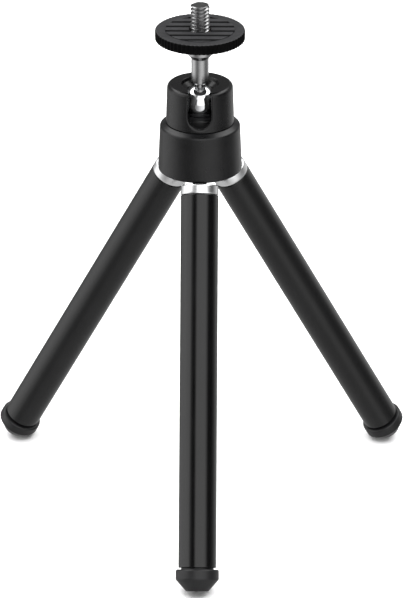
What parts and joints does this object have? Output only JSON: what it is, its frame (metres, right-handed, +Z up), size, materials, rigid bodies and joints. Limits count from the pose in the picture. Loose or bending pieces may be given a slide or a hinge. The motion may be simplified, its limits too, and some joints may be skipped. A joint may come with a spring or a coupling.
{
  "type": "tabletop tripod",
  "caption": "Tabletop tripod with folding round legs, a slotted ball head, a knurled locking platform with a grooved pad, and a 1/4 inch camera screw.",
  "frame": {"origin": "centre of the standing plane: on the axis of the head, at the height where the three open feet touch the table", "axes": "+Z up along the axis of the head and the camera screw; the front leg and the cap's slot point along -Y; +X to the right seen from the front"},
  "size_m": [0.1434, 0.1261, 0.1791],
  "materials": {
    "hub_plastic": "satin black moulding",
    "cap_plastic": "glossy black moulding",
    "seat_nylon": "dark self-lubricating nylon",
    "spider_plastic": "matte black moulding",
    "knuckle_plastic": "matte black moulding",
    "zinc_steel": "zinc plated",
    "pin_steel": "drawn steel",
    "ball_chrome": "mirror chrome",
    "collar_chrome": "mirror chrome",
    "stem_steel": "polished steel",
    "screw_steel": "nickel plated thread",
    "bush_brass": "turned brass",
    "disc_plastic": "matte black, fine knurled rim",
    "pad_rubber": "matte black, straight grooves",
    "tube_black": "gloss black lacquer over aluminium",
    "foot_rubber": "satin black rubber"
  },
  "bodies": {
    "hub": {"hub_body": "hub_plastic", "ball_seat": "seat_nylon", "leg_spider": "spider_plastic", "spider_washer": "zinc_steel", "spider_screw": "zinc_steel", "hinge_pin_front": "pin_steel", "hinge_pin_right": "pin_steel", "hinge_pin_left": "pin_steel"},
    "cap": {"clamp_cap": "cap_plastic"},
    "ball": {"ball": "ball_chrome"},
    "stem": {"ball_stem": "stem_steel", "camera_screw": "screw_steel"},
    "bush": {"platform_insert": "bush_brass"},
    "platform": {"platform_disc": "disc_plastic", "platform_pad": "pad_rubber"},
    "leg_front": {"knuckle_front": "knuckle_plastic", "collar_front": "collar_chrome", "tube_front": "tube_black", "foot_front": "foot_rubber"},
    "leg_right": {"knuckle_right": "knuckle_plastic", "collar_right": "collar_chrome", "tube_right": "tube_black", "foot_right": "foot_rubber"},
    "leg_left": {"knuckle_left": "knuckle_plastic", "collar_left": "collar_chrome", "tube_left": "tube_black", "foot_left": "foot_rubber"}
  },
  "joints": [
    {"name": "cap_turn", "type": "hinge", "parent": "hub", "child": "cap", "pos_m": [0, 0, 0.14447], "axis": [0, 0, 1], "range_deg": [0, 180]},
    {"name": "ball_tilt", "type": "hinge", "parent": "cap", "child": "ball", "pos_m": [0, 0, 0.14447], "axis": [1, 0, 0], "range_deg": [-18, 90]},
    {"name": "stem_spin", "type": "hinge", "parent": "ball", "child": "stem", "pos_m": [0, 0, 0.14447], "axis": [0, 0, 1], "continuous": true},
    {"name": "platform_lift", "type": "slide", "parent": "stem", "child": "bush", "axis": [0, 0, 1], "range_m": [0, 0.00381]},
    {"name": "platform_turn", "type": "hinge", "parent": "bush", "child": "platform", "pos_m": [0, 0, 0.16687], "axis": [0, 0, 1], "range_deg": [0, 1081]},
    {"name": "leg_front_fold", "type": "hinge", "parent": "hub", "child": "leg_front", "pos_m": [0, -0.0074, 0.12382], "axis": [1, 0, 0], "range_deg": [0, 29]},
    {"name": "leg_right_fold", "type": "hinge", "parent": "hub", "child": "leg_right", "pos_m": [0.00641, 0.0037, 0.12382], "axis": [-0.5, 0.866, 0], "range_deg": [0, 29]},
    {"name": "leg_left_fold", "type": "hinge", "parent": "hub", "child": "leg_left", "pos_m": [-0.00641, 0.0037, 0.12382], "axis": [-0.5, -0.866, 0], "range_deg": [0, 29]}
  ],
  "couplings": [
    {"joint": "platform_turn", "follows": "platform_lift", "rad_per_m": 4947.4}
  ]
}
